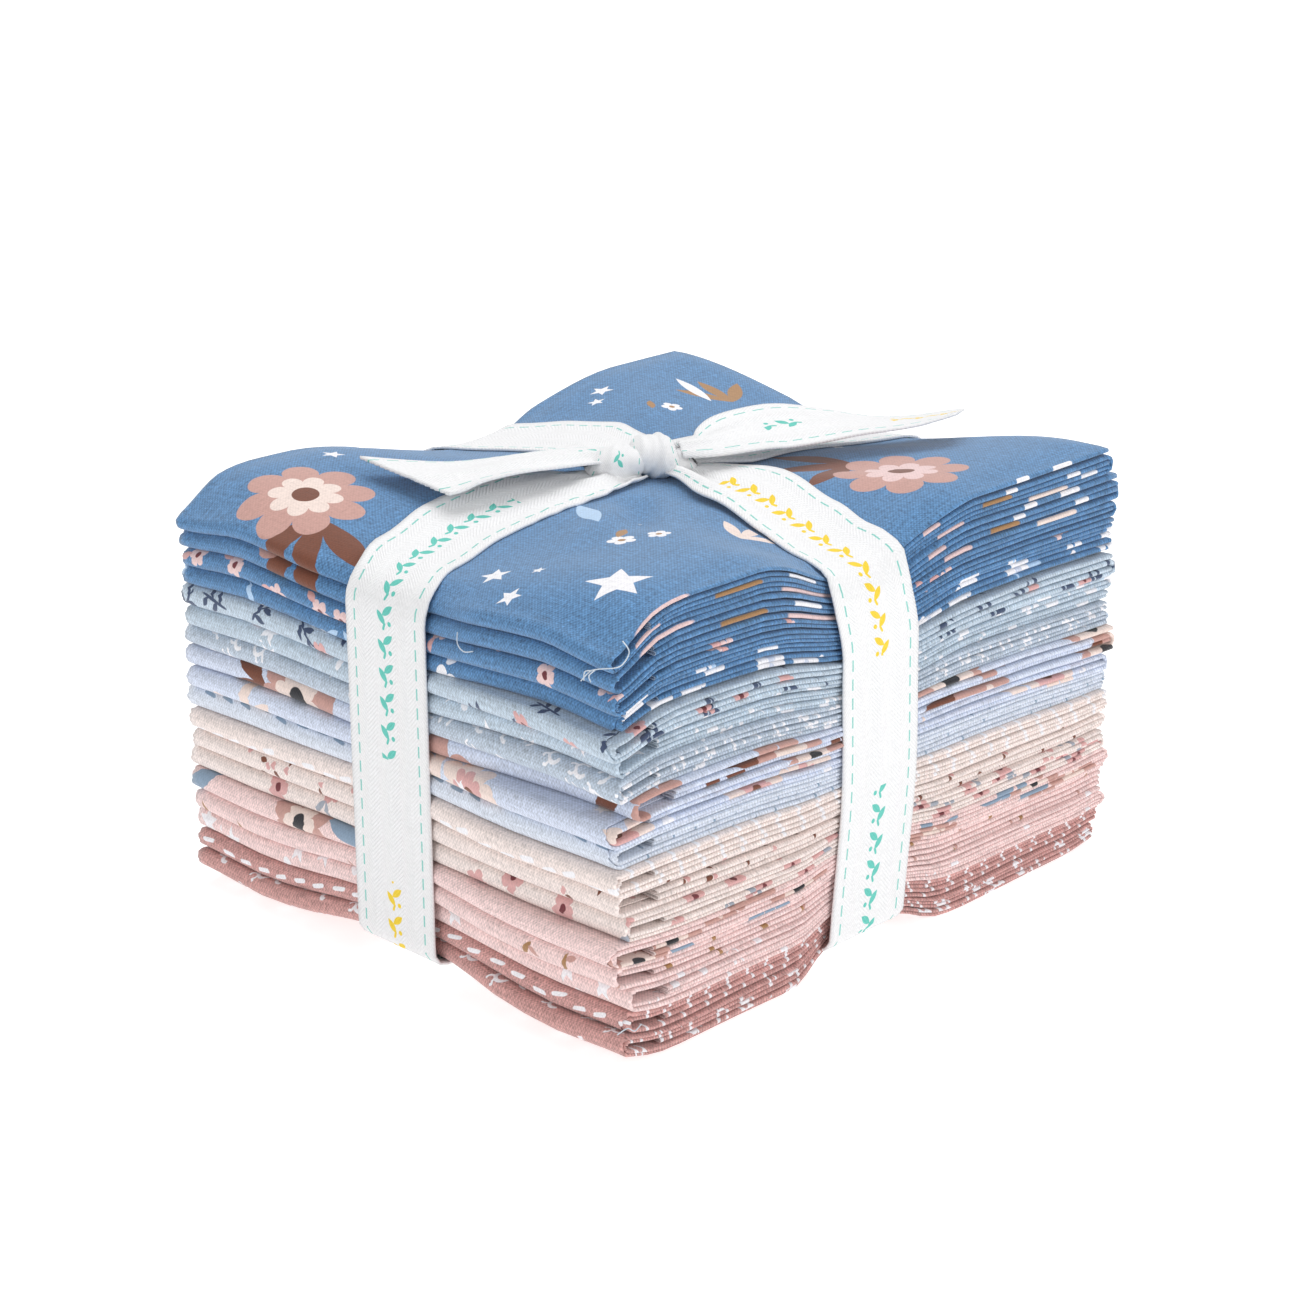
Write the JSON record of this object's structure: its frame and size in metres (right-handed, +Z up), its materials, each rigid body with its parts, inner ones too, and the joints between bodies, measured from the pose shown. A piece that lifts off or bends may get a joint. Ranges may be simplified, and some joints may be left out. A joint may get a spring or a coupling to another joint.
{
  "type": "fat quarter bundle",
  "caption": "Stack of folded cotton fat quarters tied both ways with a flat woven tape, knotted on top with two free tails; for quilting and display.",
  "frame": {"origin": "middle of the bundle's underside, on the surface that it lies on", "axes": "+X along the longer side of the folded cuts, from their outer folds to their free edges; +Y across them; +Z up through the stack"},
  "size_m": [0.1626, 0.1376, 0.1037],
  "materials": {
    "denim": "plain-weave quilting cotton, mid blue ground with a small print",
    "mist": "plain-weave quilting cotton, light grey-blue ground with a small print",
    "slate": "plain-weave quilting cotton, grey-blue ground with small white marks",
    "lavender": "plain-weave quilting cotton, lavender-blue ground with a large print",
    "ice": "plain-weave quilting cotton, pale blue ground with short dashes",
    "cream": "plain-weave quilting cotton, cream ground with a small print",
    "blush": "plain-weave quilting cotton, pale pink ground with a small print",
    "rose": "plain-weave quilting cotton, dusty rose ground with white marks",
    "tape": "white woven cotton tape with a coloured running stitch near each edge"
  },
  "bodies": {
    "root": {"fat_quarter_01": "denim", "fat_quarter_02": "denim", "fat_quarter_03": "denim", "fat_quarter_04": "denim", "fat_quarter_05": "mist", "fat_quarter_06": "mist", "fat_quarter_07": "slate", "fat_quarter_08": "lavender", "fat_quarter_09": "lavender", "fat_quarter_10": "ice", "fat_quarter_11": "cream", "fat_quarter_12": "cream", "fat_quarter_13": "cream", "fat_quarter_14": "blush", "fat_quarter_15": "blush", "fat_quarter_16": "blush", "fat_quarter_17": "rose", "fat_quarter_18": "rose", "tape_lengthwise": "tape", "tape_crosswise": "tape", "tape_knot": "tape", "tape_tail_left": "tape", "tape_tail_right": "tape"}
  },
  "joints": []
}
